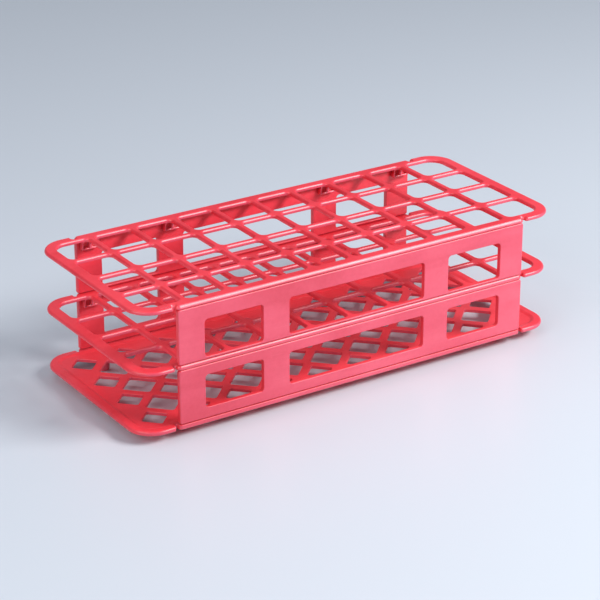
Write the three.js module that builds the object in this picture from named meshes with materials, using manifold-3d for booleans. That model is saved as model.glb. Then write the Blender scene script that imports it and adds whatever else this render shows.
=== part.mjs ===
// Fold-flat test tube rack: a perforated base plate on four feet and two grid decks, joined
// by four window-cut walls. Each wall meets the plates above and below it along a thin
// flexible hinge web, so each of the two tiers folds over as a parallelogram.
//
// Units are millimetres. +X runs along the rack, -Y is the front, +Z is up. The origin
// is the centre of the footprint, in the plane of the feet's lower faces.

import * as THREE from 'three';
import { mergeVertices } from 'three/addons/utils/BufferGeometryUtils.js';
import Module from 'manifold-3d';

const wasm = await Module();
wasm.setup();

// ---------- overall ----------
const LENGTH = 249;            // X
const WIDTH = 105;             // Y
const HEIGHT = 70.5;           // Z, with the feet
const CORNER_R = 13.5;         // outer corner radius of every plate
const CORNER_SEGMENTS = 7;
const OVERLAP = 0.5;           // how far a foot or stop lug reaches into its plate

// ---------- tube places ----------
const COLUMNS = 10;            // along X
const ROWS = 4;                // along Y
const PITCH_X = 24;
const PITCH_Y = 24;
const OUTER_PLACE_X = (COLUMNS - 1) / 2 * PITCH_X;
const OUTER_PLACE_Y = (ROWS - 1) / 2 * PITCH_Y;
const HOLE_X = 20.6;           // tube opening, X
const HOLE_Y = 21.2;           // tube opening, Y
const HOLE_CHAMFER = 1.6;      // corner break of a tube opening
const CORNER_HOLE_R = 7.5;     // outer corner of the four corner openings
const CORNER_HOLE_SEGMENTS = 5;

// ---------- base plate and feet ----------
const FOOT_H = 5.0;            // height of the feet under the base plate
const FOOT_R = 3.6;            // foot radius at its upper end
const FOOT_TIP_R = 3.3;        // foot radius at the ground
const FOOT_SEGMENTS = 24;
const FOOT_X = 4 * PITCH_X;    // midway between the two outermost columns
const FOOT_Y = 38.6;

const BASE_T = 2.6;            // thickness of the base rim
const FLOOR_T = 1.8;           // thickness of the base plate inside its rim
const RIM_W = 4.0;             // width of the base rim
const BASE_TOP = FOOT_H + BASE_T;

const DRAIN_UNDER_TUBE = 11.0;     // diamond drain hole under each tube, edge length
const DRAIN_BETWEEN_TUBES = 14.5;  // diamond drain hole between four tubes, edge length

// ---------- decks ----------
const DECK_T = 2.2;
const MID_DECK_Z = 36.7;       // underside of the middle deck
const TOP_DECK_Z = HEIGHT - DECK_T;

const NOTCH_X0 = 103.3;        // relief notch in every plate beside each end of a wall
const NOTCH_X1 = 104.8;
const NOTCH_DEPTH = 3.0;

// ---------- walls ----------
const WALL_HALF = 102.9;       // half length of a wall, X
const WALL_T = 2.6;
const WALL_EDGE_R = 0.7;       // rounding of a wall's top and bottom edges
const WALL_EDGE_SEGMENTS = 4;
const HINGE_GAP = 0.3;         // clearance between a plate and a wall's edge
const WALL_Y = (WIDTH - WALL_T) / 2;   // mid plane of a wall, which holds its hinge webs

const WINDOW_X = [[-88.4, -55.4], [-40.4, 40.4], [55.4, 88.4]];
const WINDOW_CHAMFER = 1.2;
const WINDOW_CUT = 10;         // depth of a window cutter, centred on the wall

// z of the faces below and above the walls, and of the windows' lower and upper edges
const TIERS = {
  lower: { floor: BASE_TOP, ceiling: MID_DECK_Z, windowZ: [13.6, 31.0] },
  upper: { floor: MID_DECK_Z + DECK_T, ceiling: TOP_DECK_Z, windowZ: [40.5, 60.1] },
};

// ---------- hinge webs and their slots ----------
const WEB_T = 0.5;
const WEB_HALF = 101.5;        // half length of a hinge web, X
const WEB_IN_PLATE = 0.5;      // how far a web reaches into the plate
const WEB_IN_WALL = 0.5;       // how far a web reaches into the wall's edge
const SLOT_CLEAR = 0.3;        // clearance around a web in its slots
const SLOT_HALF_W = WEB_T / 2 + SLOT_CLEAR;
const SLOT_OVERCUT = 1;        // how far a slot cutter stands out of the plate

// ---------- stop lugs, under the decks in front of the back walls ----------
const STOP_X = [-96, -48, 48, 96];
const STOP_W = 10.0;           // X
const STOP_D = 2.8;            // Y
const STOP_H = 4.6;            // Z, below the deck
const STOP_BACK_Y = WALL_Y - WALL_T / 2 - HINGE_GAP;

const SIDES = { front: -1, back: 1 };  // sign of Y
const UP = 1;
const DOWN = -1;

// ---------- mesh helpers ----------
// joins coincident vertices, keeping positions only
function weld(geometry) {
  geometry.deleteAttribute('normal');
  geometry.deleteAttribute('uv');
  return mergeVertices(geometry, 1e-4);
}

function toManifold(geometry) {
  const welded = weld(geometry);
  return new wasm.Manifold(new wasm.Mesh({
    numProp: 3,
    vertProperties: new Float32Array(welded.attributes.position.array),
    triVerts: new Uint32Array(welded.index.array),
  }));
}

function toGeometry(manifold) {
  const mesh = manifold.getMesh();
  const geometry = new THREE.BufferGeometry();
  geometry.setAttribute('position', new THREE.Float32BufferAttribute(mesh.vertProperties, 3));
  geometry.setIndex(new THREE.Uint32BufferAttribute(mesh.triVerts, 1));
  geometry.computeVertexNormals();
  return geometry;
}

// box of a given size [X, Y, Z] about a centre
function block(size, centre) {
  return new THREE.BoxGeometry(...size).translate(...centre);
}

// ---------- outlines, as lists of [x, y] ----------
const QUARTER = Math.PI / 2;

function arc(centreX, centreY, radius, start, segments, sweep = QUARTER) {
  return Array.from({ length: segments + 1 }, (_, k) => {
    const angle = start + sweep * (k / segments);
    return [centreX + radius * Math.cos(angle), centreY + radius * Math.sin(angle)];
  });
}

// the two +X corners of a centred rectangle, anticlockwise; one segment makes a chamfer
function rightCorners(halfX, halfY, radius, segments) {
  const x = halfX - radius;
  const y = halfY - radius;
  return [...arc(x, -y, radius, -QUARTER, segments), ...arc(x, y, radius, 0, segments)];
}

// completes an outline with the same half turned 180 degrees about the origin
function withOpposite(half) {
  return [...half, ...half.map(([x, y]) => [-x, -y])];
}

function toVectors(points) {
  return points.map(([x, y]) => new THREE.Vector2(x, y));
}

function extrude(outline, depth, holes = []) {
  const shape = new THREE.Shape(toVectors(outline));
  shape.holes = holes.map((points) => {
    const loop = new THREE.Path(toVectors(points));
    loop.closePath();
    return loop;
  });
  return new THREE.ExtrudeGeometry(shape, { depth, bevelEnabled: false });
}

// ---------- parts of the plates ----------
// full-size plate: rounded rectangle with four relief notches
function plate(z, thickness, holes) {
  const notch = (xFrom, xTo) => {
    const edge = WIDTH / 2;
    const bottom = edge - NOTCH_DEPTH;
    return [[xFrom, edge], [xFrom, bottom], [xTo, bottom], [xTo, edge]];
  };
  const outline = withOpposite([
    ...rightCorners(LENGTH / 2, WIDTH / 2, CORNER_R, CORNER_SEGMENTS),
    ...notch(NOTCH_X1, NOTCH_X0),
    ...notch(-NOTCH_X0, -NOTCH_X1),
  ]);
  return toManifold(extrude(outline, thickness, holes).translate(0, 0, z));
}

// centres of a grid at the tube pitch, centred on the rack
function gridCentres(columns, rows) {
  const centres = [];
  for (let i = 0; i < columns; i++) {
    for (let j = 0; j < rows; j++) {
      centres.push([(i - (columns - 1) / 2) * PITCH_X, (j - (rows - 1) / 2) * PITCH_Y]);
    }
  }
  return centres;
}

// chamfered tube opening; the four at the plate's corners are rounded on their outer corner
function tubeOpening([x, y]) {
  const atPlateCorner = Math.abs(x) === OUTER_PLACE_X && Math.abs(y) === OUTER_PLACE_Y;
  const clockwise = [[-1, -1], [-1, 1], [1, 1], [1, -1]];
  return clockwise.flatMap(([signX, signY], i) => {
    const rounded = atPlateCorner && Math.sign(x) === signX && Math.sign(y) === signY;
    const radius = rounded ? CORNER_HOLE_R : HOLE_CHAMFER;
    const segments = rounded ? CORNER_HOLE_SEGMENTS : 1;
    const centreX = x + signX * (HOLE_X / 2 - radius);
    const centreY = y + signY * (HOLE_Y / 2 - radius);
    return arc(centreX, centreY, radius, (3 - i) * QUARTER, segments, -QUARTER);
  });
}

// square hole turned 45 degrees
function diamond([x, y], edge) {
  const reach = edge / Math.SQRT2;
  return [[x - reach, y], [x, y + reach], [x + reach, y], [x, y - reach]];
}

// cutter for a hinge web's slot in a plate face that looks up or down
function plateSlot(side, faceZ, facing) {
  const depth = WEB_IN_PLATE + SLOT_CLEAR;
  return toManifold(block(
    [2 * (WEB_HALF + SLOT_CLEAR), 2 * SLOT_HALF_W, depth + SLOT_OVERCUT],
    [0, side * WALL_Y, faceZ + facing * (SLOT_OVERCUT - depth) / 2]));
}

function stopLug(x, deckZ) {
  return toManifold(block(
    [STOP_W, STOP_D, STOP_H + OVERLAP],
    [x, STOP_BACK_Y - STOP_D / 2, deckZ + (OVERLAP - STOP_H) / 2]));
}

// tapered round foot
function foot(x, y) {
  const height = FOOT_H + OVERLAP;
  const geometry = new THREE.CylinderGeometry(FOOT_R, FOOT_TIP_R, height, FOOT_SEGMENTS);
  return toManifold(geometry.rotateX(Math.PI / 2).translate(x, y, height / 2));
}

// ---------- pieces ----------
function buildBase() {
  const holes = [
    ...gridCentres(COLUMNS, ROWS).map((centre) => diamond(centre, DRAIN_UNDER_TUBE)),
    ...gridCentres(COLUMNS - 1, ROWS - 1).map((centre) => diamond(centre, DRAIN_BETWEEN_TUBES)),
  ];
  // recess inside the rim, cut down to the floor
  const recessOutline = withOpposite(rightCorners(
    LENGTH / 2 - RIM_W, WIDTH / 2 - RIM_W, CORNER_R - RIM_W, CORNER_SEGMENTS));
  const recess = extrude(recessOutline, BASE_T).translate(0, 0, FOOT_H + FLOOR_T);

  let base = plate(FOOT_H, BASE_T, holes).subtract(toManifold(recess));
  for (const side of [-1, 1]) base = base.subtract(plateSlot(side, BASE_TOP, UP));
  for (const signX of [-1, 1]) {
    for (const signY of [-1, 1]) base = base.add(foot(signX * FOOT_X, signY * FOOT_Y));
  }
  return toGeometry(base);
}

function buildDeck(z, slotsAbove) {
  let deck = plate(z, DECK_T, gridCentres(COLUMNS, ROWS).map(tubeOpening));
  for (const side of [-1, 1]) {
    deck = deck.subtract(plateSlot(side, z, DOWN));
    if (slotsAbove) deck = deck.subtract(plateSlot(side, z + DECK_T, UP));
  }
  for (const x of STOP_X) deck = deck.add(stopLug(x, z));
  return toGeometry(deck);
}

function windowCutter(side, [x0, x1], [z0, z1]) {
  const outline = withOpposite(rightCorners((x1 - x0) / 2, (z1 - z0) / 2, WINDOW_CHAMFER, 1));
  return toManifold(extrude(outline, WINDOW_CUT)
    .rotateX(Math.PI / 2)                 // outline in (X, Z), extruded along -Y
    .translate((x0 + x1) / 2, side * WALL_Y + WINDOW_CUT / 2, (z0 + z1) / 2));
}

// upright strip, grooved top and bottom for the hinge webs
function buildWall(side, { floor, ceiling, windowZ }) {
  const halfHeight = (ceiling - floor) / 2 - HINGE_GAP;
  const grooveEnd = -halfHeight + WEB_IN_WALL + SLOT_CLEAR;
  // section in (Y, Z), centred, anticlockwise from the lower groove
  const section = withOpposite([
    [-SLOT_HALF_W, -halfHeight],
    [-SLOT_HALF_W, grooveEnd],
    [SLOT_HALF_W, grooveEnd],
    [SLOT_HALF_W, -halfHeight],
    ...rightCorners(WALL_T / 2, halfHeight, WALL_EDGE_R, WALL_EDGE_SEGMENTS),
  ]);
  // section axes and extrusion become Y, Z and X
  const sectionToRack = new THREE.Matrix4().makeBasis(
    new THREE.Vector3(0, 1, 0), new THREE.Vector3(0, 0, 1), new THREE.Vector3(1, 0, 0));
  const strip = extrude(section, 2 * WALL_HALF)
    .applyMatrix4(sectionToRack)
    .translate(-WALL_HALF, side * WALL_Y, (floor + ceiling) / 2);

  let wall = toManifold(strip);
  for (const windowX of WINDOW_X) wall = wall.subtract(windowCutter(side, windowX, windowZ));
  return toGeometry(wall);
}

// thin strip that crosses the gap between a plate face and a wall's edge
function buildWeb(side, faceZ, facing) {
  const beyondFace = HINGE_GAP + WEB_IN_WALL;
  const web = weld(block(
    [2 * WEB_HALF, WEB_T, WEB_IN_PLATE + beyondFace],
    [0, side * WALL_Y, faceZ + facing * (beyondFace - WEB_IN_PLATE) / 2]));
  web.computeVertexNormals();
  return web;
}

// ---------- finishes ----------
const BASE_FINISH = { color: 0xf0404e, roughness: 0.38 };
const DECK_FINISH = { color: 0xf0404e, roughness: 0.36 };
const WALL_FINISH = { color: 0xf2566c, roughness: 0.4 };
const WEB_FINISH = { color: 0xf4707f, roughness: 0.45 };

// ---------- assembly ----------
const group = new THREE.Group();

function addPiece(name, geometry, finish) {
  const material = new THREE.MeshStandardMaterial({ ...finish, metalness: 0 });
  const mesh = new THREE.Mesh(geometry, material);
  mesh.name = name;
  group.add(mesh);
}

addPiece('base_plate', buildBase(), BASE_FINISH);
addPiece('middle_deck', buildDeck(MID_DECK_Z, true), DECK_FINISH);
addPiece('top_deck', buildDeck(TOP_DECK_Z, false), DECK_FINISH);

for (const [label, side] of Object.entries(SIDES)) {
  for (const [level, tier] of Object.entries(TIERS)) {
    addPiece(`${label}_${level}_wall`, buildWall(side, tier), WALL_FINISH);
  }
}

for (const [label, side] of Object.entries(SIDES)) {
  const webs = [
    [`base_${label}`, TIERS.lower.floor, UP],
    [`middle_deck_${label}_lower`, TIERS.lower.ceiling, DOWN],
    [`middle_deck_${label}_upper`, TIERS.upper.floor, UP],
    [`top_deck_${label}`, TIERS.upper.ceiling, DOWN],
  ];
  for (const [place, faceZ, facing] of webs) {
    addPiece(`${place}_hinge_web`, buildWeb(side, faceZ, facing), WEB_FINISH);
  }
}

export default group;
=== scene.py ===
"""Looks for a fold-flat test tube rack: a base plate, two decks, four walls and hinge webs.

The rack stands upright, centred on X = Y = 0: its length runs along X, its front faces -Y
and Z is up. Shapes are worked out in millimetres and become metres in Solid.mesh().
"""
from collections import namedtuple
from math import cos, exp, pi, radians, sin, sqrt

import bmesh
import bpy
import numpy as np
from mathutils import Matrix, Vector
from mathutils.geometry import delaunay_2d_cdt


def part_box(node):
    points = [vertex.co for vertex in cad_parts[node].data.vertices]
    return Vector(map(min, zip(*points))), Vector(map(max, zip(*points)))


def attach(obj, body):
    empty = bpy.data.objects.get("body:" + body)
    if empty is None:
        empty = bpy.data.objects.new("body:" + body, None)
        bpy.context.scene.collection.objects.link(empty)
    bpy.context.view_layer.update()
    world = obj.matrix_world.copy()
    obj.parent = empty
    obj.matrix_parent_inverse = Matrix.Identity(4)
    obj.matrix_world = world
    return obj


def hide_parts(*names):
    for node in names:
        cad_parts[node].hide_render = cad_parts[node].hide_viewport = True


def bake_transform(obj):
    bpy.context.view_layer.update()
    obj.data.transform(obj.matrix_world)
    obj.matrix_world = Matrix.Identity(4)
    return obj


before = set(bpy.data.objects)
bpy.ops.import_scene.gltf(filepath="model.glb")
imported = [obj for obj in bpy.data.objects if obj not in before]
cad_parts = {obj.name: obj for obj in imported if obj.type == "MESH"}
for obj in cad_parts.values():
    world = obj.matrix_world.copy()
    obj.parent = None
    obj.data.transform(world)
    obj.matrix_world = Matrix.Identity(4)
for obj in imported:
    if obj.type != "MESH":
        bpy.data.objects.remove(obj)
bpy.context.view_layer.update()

MM = 0.001


def mm_box(node):
    """Low and high corners of a frame piece."""
    low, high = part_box(node)
    return [c / MM for c in low], [c / MM for c in high]


# ---------------------------------------------------------------- sizes, in mm
BASE_LOW, BASE_HIGH = mm_box("base_plate")
MIDDLE_TOP_Z = mm_box("middle_deck")[1][2]
TOP_TOP_Z = mm_box("top_deck")[1][2]
WALLS = {node: mm_box(node) for node in (
    "front_lower_wall", "front_upper_wall", "back_lower_wall", "back_upper_wall")}

# plate outline, shared by the base and both decks
HALF_X, HALF_Y = BASE_HIGH[0], BASE_HIGH[1]
CORNER_R = 13.5
NOTCH_IN, NOTCH_OUT, NOTCH_DEPTH = 103.3, 104.8, 3.0    # sides of each edge notch, in |X|
EAR_R, LIP_R = 1.4, 2.0             # roundings outboard and inboard of each notch

# tube cells and decks
COLS, ROWS, PITCH = 10, 4, 24.0
LAST_X, LAST_Y = (COLS - 1) / 2 * PITCH, (ROWS - 1) / 2 * PITCH
DECK_T = 2.2
HOLE_X, HOLE_Y, HOLE_R = 20.6, 21.2, 2.7
CORNER_HOLE_R = 7.5                 # outermost corner of the four corner holes

# lugs under each deck, along its back edge
LUG_X = (-96.0, -48.0, 48.0, 96.0)
LUG_BACK_Y = WALLS["back_upper_wall"][0][1] - 0.3
LUG_HALF_X, LUG_DEPTH, LUG_DROP, LUG_OVERLAP, LUG_R = 5, 2.8, 4.6, 0.8, 0.45
CORE_OFFSETS, CORE_HALF_X, CORE_R = (-2.4, 2.4), 1.9, 0.35
CORE_Y = (-3.8, -0.5)               # from the lug's back face
CORE_Z = (-3.9, -0.35)              # from the deck's underside

# base plate
BASE_T, FLOOR_T, RIM_W = 2.6, 1.8, 4.0
BASE_Z = BASE_HIGH[2] - BASE_T      # underside
TRAY_INSET, TRAY_RUN, TRAY_STEPS = 0.3, 2.4, 12     # S-shaped slope from rim to floor
CELL_DRAIN, CELL_DRAIN_R = 11.0, 1.1
CROSS_DRAIN, CROSS_DRAIN_R = 14.5, 1.4
FOOT_R, FOOT_TIP_R, FOOT_AT = 3.6, 3.3, (96.0, 38.6)
FOOT_FILLET, FOOT_TIP_ROUND = 0.7, 0.5
FOOT_SEAT, FOOT_OVERLAP = 0.02, 0.5  # heights above the base's underside

# walls
WALL_CORNER_R, WALL_EDGE_R = 1.3, 0.7
WINDOW_X = ((-88.4, -55.4), (-40.4, 40.4), (55.4, 88.4))
WINDOW_Z = {"lower": (13.6, 31.0), "upper": (40.5, 60.1)}
WINDOW_R, WINDOW_EDGE_R = 1.9, 0.35

# hinge webs
WEB_GAP, WEB_BITE, WEB_R = 0.3, 0.4, 0.12   # free height, overlap into each part, corner
WEB_STEPS = 14
WAIST, WAIST_SPREAD = 0.25, 0.22

# hinge webs: name, plate, wall it bends with on the real rack (not attached to it here; None:
# stays on the plate), face z, way out
WEBS = (
    ("base_front_hinge_web", "base", "front_lower_wall", BASE_HIGH[2], 1),
    ("base_back_hinge_web", "base", "back_lower_wall", BASE_HIGH[2], 1),
    ("middle_deck_front_lower_hinge_web", "middle_deck", "front_lower_wall",
     MIDDLE_TOP_Z - DECK_T, -1),
    ("middle_deck_back_lower_hinge_web", "middle_deck", None, MIDDLE_TOP_Z - DECK_T, -1),
    ("middle_deck_front_upper_hinge_web", "middle_deck", "front_upper_wall", MIDDLE_TOP_Z, 1),
    ("middle_deck_back_upper_hinge_web", "middle_deck", "back_upper_wall", MIDDLE_TOP_Z, 1),
    ("top_deck_front_hinge_web", "top_deck", "front_upper_wall", TOP_TOP_Z - DECK_T, -1),
    ("top_deck_back_hinge_web", "top_deck", None, TOP_TOP_Z - DECK_T, -1),
)

# ---------------------------------------------------------------- loops
# A loop is a list of arcs, angles in degrees, with straight runs between them. Sign +1 is a
# convex corner of the material, whose radius shrinks as the loop moves into the material,
# and -1 a concave one, whose radius grows.
Arc = namedtuple("Arc", "x y radius sign start end steps")

# signs of X and Y at each corner of a rectangle, and its arc's start angle
CORNERS = ((1, -1, -90), (1, 1, 0), (-1, 1, 90), (-1, -1, 180))
LARGE_R, LARGE_EXTRA_STEPS = 5, 4   # corners this large get extra steps


def loop_points(arcs, inset=0):
    """Points of a loop moved into the material by inset, one value or one per point."""
    insets = iter(np.broadcast_to(np.asarray(inset, float), (sum(a.steps + 1 for a in arcs),)))
    points = []
    for arc in arcs:
        for t in range(arc.steps + 1):
            angle = radians(arc.start + (arc.end - arc.start) * t / arc.steps)
            r = max(arc.radius - arc.sign * next(insets), 1e-4)
            points.append((arc.x + r * cos(angle), arc.y + r * sin(angle)))
    return np.array(points)


def rect_loop(cx, cy, half_x, half_y, radii, sign, steps):
    """Rounded rectangle; radii is one radius or four in the order of CORNERS."""
    if not isinstance(radii, list):
        radii = [radii] * 4
    return [Arc(cx + sx * (half_x - r), cy + sy * (half_y - r), r, sign, start, start + 90,
                steps if r < LARGE_R else steps + LARGE_EXTRA_STEPS)
            for (sx, sy, start), r in zip(CORNERS, radii)]


def diamond_loop(cx, cy, edge, r, steps):
    """Square hole turned 45 degrees, with rounded corners."""
    reach = edge / sqrt(2) - r * sqrt(2)
    return [Arc(cx + reach * ux, cy + reach * uy, r, -1, angle - 45, angle + 45, steps)
            for ux, uy, angle in ((1, 0, 0), (0, 1, 90), (-1, 0, 180), (0, -1, 270))]


def plate_loop():
    """Notched plate outline, and for each point how far it is wall lip (1) or free edge (0)."""
    corner_x, corner_y = HALF_X - CORNER_R, HALF_Y - CORNER_R
    ear_x, ear_y = NOTCH_OUT + EAR_R, HALF_Y - EAR_R
    lip_x, lip_y = NOTCH_IN - LIP_R, HALF_Y - LIP_R
    notch_r, notch_x = (NOTCH_OUT - NOTCH_IN) / 2, (NOTCH_IN + NOTCH_OUT) / 2
    notch_y = HALF_Y - NOTCH_DEPTH + notch_r
    # the +X corners and the back edge: arc, lip share at its start and end
    half = (
        (Arc(corner_x, -corner_y, CORNER_R, 1, -90, 0, 18), 0, 0),
        (Arc(corner_x, corner_y, CORNER_R, 1, 0, 90, 18), 0, 0),
        (Arc(ear_x, ear_y, EAR_R, 1, 90, 180, 6), 0, 1),
        (Arc(notch_x, notch_y, notch_r, -1, 0, -180, 10), 1, 1),
        (Arc(lip_x, lip_y, LIP_R, 1, 0, 90, 6), 1, 1),
        (Arc(-lip_x, lip_y, LIP_R, 1, 90, 180, 6), 1, 1),
        (Arc(-notch_x, notch_y, notch_r, -1, 0, -180, 10), 1, 1),
        (Arc(-ear_x, ear_y, EAR_R, 1, 0, 90, 6), 1, 0),
    )
    arcs = [arc for arc, _, _ in half]
    # the rest is the same half turned by 180 degrees about Z
    for arc, _, _ in half:
        turn = -180 if arc.start == 90 else 180
        arcs.append(arc._replace(x=-arc.x, y=-arc.y, start=arc.start + turn, end=arc.end + turn))
    lip = [w0 + (w1 - w0) * t / arc.steps for arc, w0, w1 in half for t in range(arc.steps + 1)]
    return arcs, np.array(lip * 2)


def grid(cols, rows):
    """Centres of a grid of cells about the origin."""
    return [((i - (cols - 1) / 2) * PITCH, (j - (rows - 1) / 2) * PITCH)
            for i in range(cols) for j in range(rows)]


# ---------------------------------------------------------------- edge profiles
# A profile is [(inset, z)] from the top face's edge over the side to the bottom face's.
def lower_round(r, z0, steps):
    angles = [radians(90 * t / steps) for t in range(steps + 1)]
    return [(r * (1 - cos(a)), z0 + r - r * sin(a)) for a in angles]


def edge_profile(top_r, low_r, z0, z1, steps):
    """Both edges plainly rounded."""
    angles = [radians(90 - 90 * t / steps) for t in range(steps + 1)]
    upper = [(top_r * (1 - cos(a)), z1 - top_r + top_r * sin(a)) for a in angles]
    return upper + lower_round(low_r, z0, steps)


def crowned_profile(blend_r, crown_r, low_r, z0, z1, steps):
    """Upper edge a shallow crowned bevel, blended at both ends; lower edge rounded."""
    x = z = 0.0
    points = [(x, z)]
    for r, start, end, count in ((blend_r, 90, 50, steps), (crown_r, 50, 24, steps + 2),
                                 (blend_r, 24, 0, steps)):
        for t in range(1, count + 1):
            a, b = (radians(start + (end - start) * q / count) for q in (t - 1, t))
            x += r * (cos(b) - cos(a))
            z += r * (sin(a) - sin(b))
            points.append((x, z))
    return [(x - px, z1 - pz) for px, pz in points] + lower_round(low_r, z0, 2 * steps)


# ---------------------------------------------------------------- mesh building
def inside(points, polygon):
    """Which points lie in a polygon, by counting crossings."""
    x, y = points[:, 0], points[:, 1]
    hit = np.zeros(len(points), bool)
    for (x0, y0), (x1, y1) in zip(polygon, np.roll(polygon, -1, 0)):
        if y0 != y1:
            hit ^= ((y0 > y) != (y1 > y)) & (x < (x1 - x0) * (y - y0) / (y1 - y0) + x0)
    return hit


class Solid:
    """Collects rings of points and the faces between them, then caps flat regions."""

    def __init__(self):
        self.points, self.faces = [], []

    def ring(self, xy, z):
        start = len(self.points)
        z = np.broadcast_to(np.asarray(z, float), (len(xy),))
        self.points.extend((float(x), float(y), float(h)) for (x, y), h in zip(xy, z))
        return list(range(start, start + len(xy)))

    def skin(self, rings, outward=True):
        for a, b in zip(rings, rings[1:]):
            for i in range(len(a)):
                j = (i + 1) % len(a)
                face = (a[i], b[i], b[j], a[j])
                self.faces.append(face if outward else face[::-1])

    def sweep(self, arcs, profile, outward=True, lip_profile=None, lip=None):
        """Sweeps a loop down its profile, mixed with lip_profile by each point's lip share.
        Returns the first and last rings."""
        rings = []
        for k, (inset, z) in enumerate(profile):
            if lip is not None:
                inset = inset * (1 - lip) + lip_profile[k][0] * lip
                z = z * (1 - lip) + lip_profile[k][1] * lip
            rings.append(self.ring(loop_points(arcs, inset), z))
        self.skin(rings, outward)
        return rings[0], rings[-1]

    def cap(self, outer, holes, up):
        """Fills the flat region inside outer and outside holes."""
        loops = [outer] + holes
        ids = [i for loop in loops for i in loop]
        edges, start = [], 0
        for loop in loops:
            n = len(loop)
            edges += [(start + i, start + (i + 1) % n) for i in range(n)]
            start += n
        flat = [Vector(self.points[i][:2]) for i in ids]
        verts, _, faces, sources, _, _ = delaunay_2d_cdt(flat, edges, [], 1, 1e-6)
        triangles = np.array([f for f in faces if len(f) == 3])
        centres = np.array([v[:] for v in verts])[triangles].mean(1)
        keep = np.ones(len(triangles), bool)
        for loop in holes:
            hole = np.array([self.points[i][:2] for i in loop])
            near = ((centres > hole.min(0)) & (centres < hole.max(0))).all(1) & keep
            near = np.nonzero(near)[0]
            if len(near):
                keep[near[inside(centres[near], hole)]] = False
        for triangle in triangles[keep]:
            face = tuple(ids[sources[int(i)][0]] for i in triangle)
            a, b, c = (np.array(self.points[i][:2]) for i in face)
            area = (b[0] - a[0]) * (c[1] - a[1]) - (b[1] - a[1]) * (c[0] - a[0])
            if abs(area) >= 1e-12:
                self.faces.append(face if (area > 0) == up else face[::-1])

    def close(self, outer, holes=()):
        """Caps top and bottom; outer and each hole are (top ring, bottom ring)."""
        for end, up in ((0, True), (1, False)):
            self.cap(outer[end], [hole[end] for hole in holes], up)

    def mesh(self, name, axes=(0, 1, 2)):
        mesh = bpy.data.meshes.new(name)
        points = (np.array(self.points) * MM)[:, axes]
        mesh.from_pydata([tuple(p) for p in points], [], self.faces)
        mesh.validate()
        mesh.update()
        return mesh


def new_object(name, data):
    obj = bpy.data.objects.new(name, data)
    bpy.context.scene.collection.objects.link(obj)
    return obj


def finish_mesh(obj):
    """Outward faces, smooth shading and normals weighted to the large flats."""
    bm = bmesh.new()
    bm.from_mesh(obj.data)
    bmesh.ops.remove_doubles(bm, verts=bm.verts, dist=1e-7)
    bmesh.ops.recalc_face_normals(bm, faces=bm.faces)
    bm.to_mesh(obj.data)
    bm.free()
    obj.data.polygons.foreach_set("use_smooth", [True] * len(obj.data.polygons))
    obj.data.update()
    weighted = obj.modifiers.new("weighted", "WEIGHTED_NORMAL")
    weighted.mode = "FACE_AREA"
    weighted.weight = 80
    weighted.keep_sharp = True


def rounded_block(low, high, r):
    (x0, y0, z0), (x1, y1, z1) = low, high
    s = Solid()
    arcs = rect_loop((x0 + x1) / 2, (y0 + y1) / 2, (x1 - x0) / 2, (y1 - y0) / 2, r * 1.3, 1, 4)
    s.close(s.sweep(arcs, edge_profile(r, r, z0, z1, 4)))
    return s


def combine(obj, operation, solids):
    """Joins or cuts the solids one at a time, and keeps the result as plain mesh."""
    for solid in solids:
        tool = new_object("tool", solid.mesh("tool"))
        mod = obj.modifiers.new("join", "BOOLEAN")
        mod.operation = operation
        mod.solver = "EXACT"
        mod.object = tool
        depsgraph = bpy.context.evaluated_depsgraph_get()
        mesh = bpy.data.meshes.new_from_object(obj.evaluated_get(depsgraph))
        obj.modifiers.clear()
        old = obj.data
        obj.data = mesh
        bpy.data.meshes.remove(old)
        bpy.data.objects.remove(tool)


# ---------------------------------------------------------------- plates
def deck(name, z1, lip_blend_r, lip_crown_r):
    """Deck with a grid of tube holes and a row of cored lugs under its back edge."""
    z0 = z1 - DECK_T
    s = Solid()
    arcs, lip = plate_loop()
    free_edge = crowned_profile(1.15, 1.6, 0.7, z0, z1, 4)
    lip_edge = crowned_profile(lip_blend_r, lip_crown_r, 0.3, z0, z1, 4)
    outer = s.sweep(arcs, free_edge, lip_profile=lip_edge, lip=lip)
    hole_edge = crowned_profile(0.4, 2.0, 0.4, z0, z1, 2)
    holes = []
    for x, y in grid(COLS, ROWS):
        radii = [CORNER_HOLE_R if (x, y) == (sx * LAST_X, sy * LAST_Y) else HOLE_R
                 for sx, sy, _ in CORNERS]
        loop = rect_loop(x, y, HOLE_X / 2, HOLE_Y / 2, radii, -1, 5)
        holes.append(s.sweep(loop, hole_edge, outward=False))
    s.close(outer, holes)
    obj = new_object(name, s.mesh(name))
    y = LUG_BACK_Y
    combine(obj, "UNION", [
        rounded_block((x - LUG_HALF_X, y - LUG_DEPTH, z0 - LUG_DROP),
                      (x + LUG_HALF_X, y, z0 + LUG_OVERLAP), LUG_R) for x in LUG_X])
    # each lug is cored twice from its front face
    combine(obj, "DIFFERENCE", [
        rounded_block((x + dx - CORE_HALF_X, y + CORE_Y[0], z0 + CORE_Z[0]),
                      (x + dx + CORE_HALF_X, y + CORE_Y[1], z0 + CORE_Z[1]), CORE_R)
        for x in LUG_X for dx in CORE_OFFSETS])
    finish_mesh(obj)
    return obj


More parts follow.
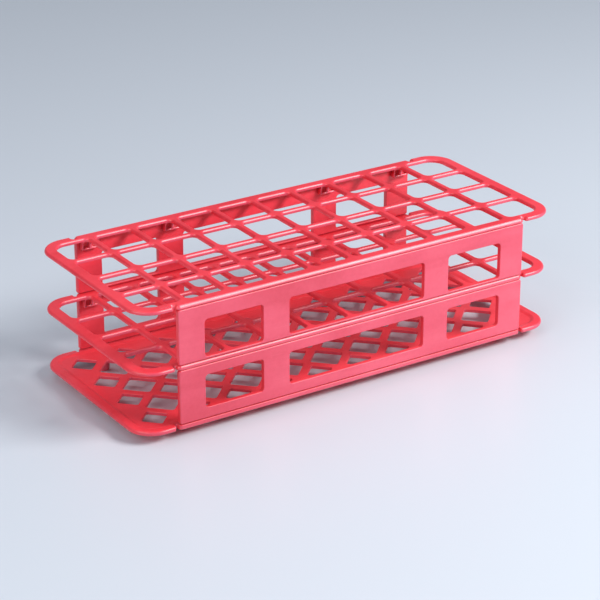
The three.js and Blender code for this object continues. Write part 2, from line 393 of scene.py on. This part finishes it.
def foot(x, y):
    """Tapered round foot with a rounded tip and a fillet where it meets the plate."""
    seat, tip = BASE_Z + FOOT_SEAT, BASE_LOW[2] + FOOT_TIP_ROUND
    angles = [radians(a) for a in range(0, 91, 15)]
    profile = [(FOOT_R + FOOT_FILLET, BASE_Z + FOOT_OVERLAP)]
    profile += [(FOOT_R + FOOT_FILLET * (1 - sin(a)), seat - FOOT_FILLET * (1 - cos(a)))
                for a in angles]
    profile += [(FOOT_TIP_R - FOOT_TIP_ROUND + FOOT_TIP_ROUND * cos(a),
                 tip - FOOT_TIP_ROUND * sin(a)) for a in angles]
    s = Solid()
    turns = [2 * pi * k / 48 for k in range(48)]
    rings = [s.ring([(x + r * cos(a), y + r * sin(a)) for a in turns], z) for r, z in profile]
    s.skin(rings)
    s.close((rings[0], rings[-1]))
    return s


def base():
    """Shallow tray on four feet, with a diamond drain at each cell and each crossing."""
    z0, z1 = BASE_Z, BASE_HIGH[2]
    floor_z = z0 + FLOOR_T
    s = Solid()
    arcs, lip = plate_loop()
    top, low = s.sweep(arcs, edge_profile(1.3, 0.95, z0, z1, 7),
                       lip_profile=edge_profile(0.35, 0.9, z0, z1, 7), lip=lip)
    tray = rect_loop(0, 0, HALF_X - RIM_W, HALF_Y - RIM_W, CORNER_R - RIM_W, -1, 12)
    slope = [(TRAY_INSET - TRAY_RUN * t / TRAY_STEPS,
              floor_z + (z1 - floor_z) * (0.5 + 0.5 * cos(pi * t / TRAY_STEPS)))
             for t in range(TRAY_STEPS + 1)]
    tray_top, tray_low = s.sweep(tray, slope, outward=False)
    s.cap(top, [tray_top], True)
    drain_edge = edge_profile(0.35, 0.25, z0, floor_z, 3)
    drains = [s.sweep(diamond_loop(x, y, edge, r, 5), drain_edge, outward=False)
              for centres, edge, r in ((grid(COLS, ROWS), CELL_DRAIN, CELL_DRAIN_R),
                                       (grid(COLS - 1, ROWS - 1), CROSS_DRAIN, CROSS_DRAIN_R))
              for x, y in centres]
    s.cap(tray_low, [a for a, _ in drains], True)
    s.cap(low, [b for _, b in drains], False)
    obj = new_object("base_plate_body", s.mesh("base_plate_body"))
    combine(obj, "UNION", [foot(sx * FOOT_AT[0], sy * FOOT_AT[1])
                           for sx in (-1, 1) for sy in (-1, 1)])
    finish_mesh(obj)
    return obj


# ---------------------------------------------------------------- walls and webs
def wall(node):
    """Panel with three windows, built with its loop in (X, Z) and its thickness along Y."""
    (_, y0, z0), (x1, y1, z1) = WALLS[node]
    s = Solid()
    loop = rect_loop(0, (z0 + z1) / 2, x1, (z1 - z0) / 2, WALL_CORNER_R, 1, 6)
    outer = s.sweep(loop, edge_profile(WALL_EDGE_R, WALL_EDGE_R, y0, y1, 6))
    low, high = WINDOW_Z["lower" if "lower" in node else "upper"]
    window_edge = edge_profile(WINDOW_EDGE_R, WINDOW_EDGE_R, y0, y1, 4)
    windows = [s.sweep(rect_loop((left + right) / 2, (low + high) / 2, (right - left) / 2,
                                 (high - low) / 2, WINDOW_R, -1, 6),
                       window_edge, outward=False) for left, right in WINDOW_X]
    s.close(outer, windows)
    obj = new_object(node + "_panel", s.mesh(node + "_panel", axes=(0, 2, 1)))
    finish_mesh(obj)
    return obj


def web(node, face, way):
    """Thin strip from a plate's face to its wall, slightly waisted where it flexes."""
    (_, y0, _), (x1, y1, _) = mm_box(node)
    z0, z1 = sorted((face - way * WEB_BITE, face + way * (WEB_GAP + WEB_BITE)))
    waist_z = face + way * WEB_GAP / 2
    s = Solid()
    rings = []
    for k in range(WEB_STEPS + 1):
        z = z0 + (z1 - z0) * k / WEB_STEPS
        half_y = (y1 - y0) / 2 * (1 - WAIST * exp(-((z - waist_z) / WAIST_SPREAD) ** 2))
        loop = rect_loop(0, (y0 + y1) / 2, x1, half_y, WEB_R, 1, 2)
        rings.append(s.ring(loop_points(loop), z))
    s.skin(rings[::-1])
    s.close((rings[-1], rings[0]))
    obj = new_object(node + "_strip", s.mesh(node + "_strip"))
    finish_mesh(obj)
    return obj


# ---------------------------------------------------------------- materials
BLACK, WHITE = (0, 0, 0), (1, 1, 1)
# deep, middle and pale shades
FLAT_SHADES = ((0.70, 0.020, 0.034), (0.82, 0.036, 0.056), (0.90, 0.062, 0.086))
# painted sheen: faces of the plates and walls that look along Y get these paler, pinker shades in
# place of the front light's sheen; the hinge webs use them as their plain, paler colour
SIDE_SHADES = ((0.62, 0.044, 0.080), (0.71, 0.070, 0.120), (0.79, 0.105, 0.162))
# these paler shades show the hinge webs' stress whitening and, on their faces looking along Y,
# the painted sheen as well
FLEXED_SHADES = ((0.72, 0.085, 0.130), (0.80, 0.135, 0.185), (0.87, 0.220, 0.265))
SHADE_STOPS = (0.36, 0.5, 0.66)
# painted shade: wall faces beyond this |Y| that look inwards lose most of the painted sheen, as
# they stand in shade
INNER_FACE_Y = 0.0488       # faces beyond this |Y|, in metres, that look inwards are inner


def set_inputs(node, inputs):
    """Links each input to a socket, or gives it a value."""
    for key, value in inputs.items():
        if isinstance(value, bpy.types.NodeSocket):
            node.id_data.links.new(value, node.inputs[key])
        else:
            node.inputs[key].default_value = value


class Shader:
    """A new material, with short ways to add nodes to it."""

    def __init__(self, name):
        self.material = bpy.data.materials.new(name)
        self.material.use_nodes = True
        self.nodes = self.material.node_tree.nodes
        self.bsdf = self.nodes["Principled BSDF"]

    def add(self, kind, inputs={}, **settings):
        node = self.nodes.new("ShaderNode" + kind)
        for key, value in settings.items():
            setattr(node, key, value)
        set_inputs(node, inputs)
        return node

    def math(self, operation, *values, clamp=False):
        return self.add("Math", dict(enumerate(values)),
                        operation=operation, use_clamp=clamp).outputs[0]

    def noise(self, vector, scale, detail, rough=0.5, distortion=0.0):
        return self.add("TexNoise", {"Vector": vector, "Scale": scale, "Detail": detail,
                                     "Roughness": rough, "Distortion": distortion}).outputs["Fac"]

    def ramp(self, fac, stops):
        node = self.add("ValToRGB", {0: fac})
        elements = node.color_ramp.elements
        while len(elements) < len(stops):
            elements.new(0.5)
        for element, (position, colour) in zip(elements, stops):
            element.position = position
            element.color = (*colour, 1)
        return node.outputs[0]

    def mask(self, fac, low, high):
        return self.ramp(fac, [(low, BLACK), (high, WHITE)])

    def mix(self, fac, a, b):
        b = (*b, 1) if isinstance(b, tuple) else b
        return self.add("Mix", {0: fac, 6: a, 7: b}, data_type="RGBA").outputs[2]

    def mapped(self, vector, scale, turn=(0, 0, 0)):
        return self.add("Mapping", {"Vector": vector, "Scale": scale,
                                    "Rotation": turn}).outputs[0]

    def bump(self, height, strength, distance, invert=False, **below):
        return self.add("Bump", {"Strength": strength, "Distance": distance,
                                 "Height": height, **below}, invert=invert).outputs[0]


def moulded_colour_with_painted_sheen(s, co, flat_shades, side_shades):
    """Slow drift, flow streaks and mottle, and a painted sheen on faces looking along Y. Returns
    the colour and a mask of the side faces.
    """
    drift = s.noise(co, scale=16, detail=3, rough=0.55, distortion=0.4)
    streak = s.noise(s.mapped(co, (9, 70, 70)), scale=1.0, detail=4, rough=0.6, distortion=0.8)
    mottle = s.noise(co, scale=420, detail=4, rough=0.65)
    shade = s.math("ADD", s.math("MULTIPLY", drift, 0.55), s.math("MULTIPLY", streak, 0.3))
    shade = s.math("ADD", shade, s.math("MULTIPLY", mottle, 0.15))
    # faces that look along Y take the side shades, a painted sheen standing in for the front
    # light
    normal = s.add("SeparateXYZ")
    set_inputs(normal, {0: s.add("TexCoord").outputs["Normal"]})
    normal_y = normal.outputs["Y"]
    side = s.mask(s.math("ABSOLUTE", normal_y), low=0.45, high=0.92)
    # painted shade: the inner faces of the walls, which stand in shade, keep mostly to the flats'
    # deeper shades and lose most of the painted sheen
    place_y = s.add("SeparateXYZ", {0: co}).outputs["Y"]
    inner = s.math("LESS_THAN", s.math("MULTIPLY", place_y, normal_y), -INNER_FACE_Y)
    side = s.math("MULTIPLY", side, s.math("SUBTRACT", 1.0, s.math("MULTIPLY", inner, 0.8)))
    flat_colour = s.ramp(shade, list(zip(SHADE_STOPS, flat_shades)))
    side_colour = s.ramp(shade, list(zip(SHADE_STOPS, side_shades)))
    return s.mix(side, flat_colour, side_colour), side


def worn_colour_and_painted_shade(s, co, point, colour, deep, pale):
    """Adds rubbed edges, painted shade in corners and recesses, and scuffs. Returns colour, edge
    and scuff masks.
    """
    breakup = s.noise(co, scale=130, detail=5, rough=0.7, distortion=0.5)
    ragged = s.math("MULTIPLY", s.math("SUBTRACT", breakup, 0.5), 0.035)
    edge = s.mask(s.math("ADD", point, ragged), low=0.515, high=0.575)
    rubbed = tuple(min(1, c * 1.04 + 0.06) for c in pale)
    colour = s.mix(s.math("MULTIPLY", edge, 0.32), colour, rubbed)
    # painted shade: ambient occlusion darkens corners, recesses and seams towards a deep shade
    ao = s.add("AmbientOcclusion", {"Distance": 0.003}, samples=6).outputs["AO"]
    shaded = s.math("MULTIPLY", s.math("SUBTRACT", 1.0, ao, clamp=True), 0.22)
    colour = s.mix(shaded, colour, tuple(c * 0.55 for c in deep))
    # fine scuffs in two crossing directions, on a few patches only
    scratches = [s.noise(s.mapped(co, scale, turn=(0, 0, turn)), scale=1.0, detail=2,
                         distortion=0.3)
                 for scale, turn in (((60, 1500, 1500), 0.35), ((1400, 70, 1400), -0.2))]
    patch = s.mask(s.noise(co, scale=34, detail=2), low=0.48, high=0.62)
    scratched = s.mask(s.math("MAXIMUM", *scratches), low=0.66, high=0.74)
    scuff = s.math("MULTIPLY", scratched, patch)
    scuffed = tuple(min(1, c + 0.12) for c in pale)
    return s.mix(s.math("MULTIPLY", scuff, 0.16), colour, scuffed), edge, scuff


def plastic(name, flat_shades, side_shades, roughness):
    """Moulded polypropylene with a fine spark-eroded grain, light wear, a painted sheen on faces
    looking along Y and painted shade in recesses.
    """
    s = Shader(name)
    co = s.add("TexCoord").outputs["Object"]
    point = s.add("NewGeometry").outputs["Pointiness"]
    colour, side = moulded_colour_with_painted_sheen(s, co, flat_shades, side_shades)
    colour, edge, scuff = worn_colour_and_painted_shade(s, co, point, colour, flat_shades[0], side_shades[2])
    # rougher in patches, at scuffs and on side faces; smoother at rubbed edges
    cloud = s.noise(co, scale=90, detail=4, rough=0.6)
    rough = s.math("ADD", roughness - 0.07, s.math("MULTIPLY", cloud, 0.14))
    for operation, mask, amount in (("ADD", scuff, 0.14), ("SUBTRACT", edge, 0.07),
                                    ("ADD", side, 0.05)):
        rough = s.math(operation, rough, s.math("MULTIPLY", mask, amount))
    # gentle waviness, then the grain, then the scuffs
    grain = s.noise(co, scale=2600, detail=3, rough=0.6)
    wavy = s.noise(s.mapped(co, (26, 60, 60)), scale=1.0, detail=2)
    relief = s.bump(wavy, strength=0.35, distance=0.00035)
    relief = s.bump(grain, strength=0.16, distance=0.00006, Normal=relief)
    relief = s.bump(scuff, strength=0.10, distance=0.00004, invert=True, Normal=relief)
    set_inputs(s.bsdf, {
        "Base Color": colour, "Roughness": rough, "Normal": relief,
        "Subsurface Weight": 0.10, "Subsurface Radius": (1.0, 0.22, 0.18),
        "Subsurface Scale": 0.0016, "IOR": 1.49, "Specular IOR Level": 0.7})
    return s.material


PLATE = plastic("coral_pp_plate", FLAT_SHADES, SIDE_SHADES, roughness=0.33)
WALL = plastic("coral_pp_wall", FLAT_SHADES, SIDE_SHADES, roughness=0.36)
WEB = plastic("coral_pp_flexed", SIDE_SHADES, FLEXED_SHADES, roughness=0.45)


def dress(obj, material):
    obj.data.materials.clear()
    obj.data.materials.append(material)


# ---------------------------------------------------------------- build
top = deck("top_deck_grid", TOP_TOP_Z, lip_blend_r=0.7, lip_crown_r=3.6)
middle = deck("middle_deck_grid", MIDDLE_TOP_Z, lip_blend_r=0.5, lip_crown_r=2.2)
for obj, body, node in ((top, "top_deck", "top_deck"), (middle, "middle_deck", "middle_deck"),
                        (base(), "base", "base_plate")):
    dress(obj, PLATE)
    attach(obj, body)
    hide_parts(node)

for node in WALLS:
    obj = wall(node)
    dress(obj, WALL)
    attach(obj, node)
    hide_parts(node)

for node, plate, partner, face, way in WEBS:
    obj = web(node, face, way)
    dress(obj, WEB)
    if partner:
        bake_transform(obj)
    else:
        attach(obj, plate)
    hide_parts(node)


# ---------------------------------------------------------------- stage, in metres
def floor(half=6.0, drop=0.00005):
    mesh = bpy.data.meshes.new("floor")
    corners = [(-half, -half, 0), (half, -half, 0), (half, half, 0), (-half, half, 0)]
    mesh.from_pydata(corners, [], [(0, 1, 2, 3)])
    obj = new_object("floor", mesh)
    obj.location.z = -drop
    pale = Shader("floor_pale")
    set_inputs(pale.bsdf, {"Base Color": (0.60, 0.64, 0.70, 1), "Roughness": 0.38,
                           "Specular IOR Level": 0.5})
    mesh.materials.append(pale.material)


def area(name, direction, distance, size, power, color=(1, 1, 1)):
    """Area light that looks at a point above the floor from the given direction."""
    light = bpy.data.lights.new(name, "AREA")
    light.shape = "RECTANGLE"
    light.size, light.size_y = size
    light.energy = power
    light.color = color
    obj = new_object(name, light)
    away = Vector(direction).normalized()
    obj.location = Vector((0, 0, 0.035)) + away * distance
    obj.rotation_mode = "QUATERNION"
    obj.rotation_quaternion = away.to_track_quat("Z", "Y")


floor()
area("key", direction=(0.50, -0.60, 0.62), distance=1.3, size=(0.66, 0.40), power=20.5)
area("left", direction=(-0.85, -0.25, 0.50), distance=1.6, size=(1.2, 1.0), power=11.5,
     color=(0.97, 0.98, 1.0))
area("overhead", direction=(-0.25, 0.35, 1.0), distance=1.5, size=(1.6, 1.2), power=4)

world = bpy.data.worlds.new("studio")
world.use_nodes = True
set_inputs(world.node_tree.nodes["Background"],
           {"Color": (0.60, 0.68, 0.80, 1), "Strength": 0.34})
bpy.context.scene.world = world
bpy.context.scene.view_settings.view_transform = "Standard"

# ---------------------------------------------------------------- camera
YAW, PITCH = radians(32.97), radians(23.67)     # turned towards +X, tipped down
# where the camera sees the centre of the base's underside, in mm
SEEN_RIGHT, SEEN_DOWN, SEEN_AHEAD = 0.35, 22.82, 1192.5

ahead = Vector((sin(YAW) * cos(PITCH), cos(YAW) * cos(PITCH), -sin(PITCH)))
right = Vector((cos(YAW), -sin(YAW), 0))
up = right.cross(ahead)
offset = -(right * SEEN_RIGHT - up * SEEN_DOWN + ahead * SEEN_AHEAD) * MM
camera = bpy.data.cameras.new("camera")
camera.sensor_width = 36
camera.lens = 137.22
camera.clip_start, camera.clip_end = 0.05, 50
camera_obj = new_object("camera", camera)
turned = Matrix((right, up, -ahead)).transposed().to_4x4()
camera_obj.matrix_world = Matrix.Translation(offset + Vector((0, 0, BASE_Z * MM))) @ turned
bpy.context.scene.camera = camera_obj
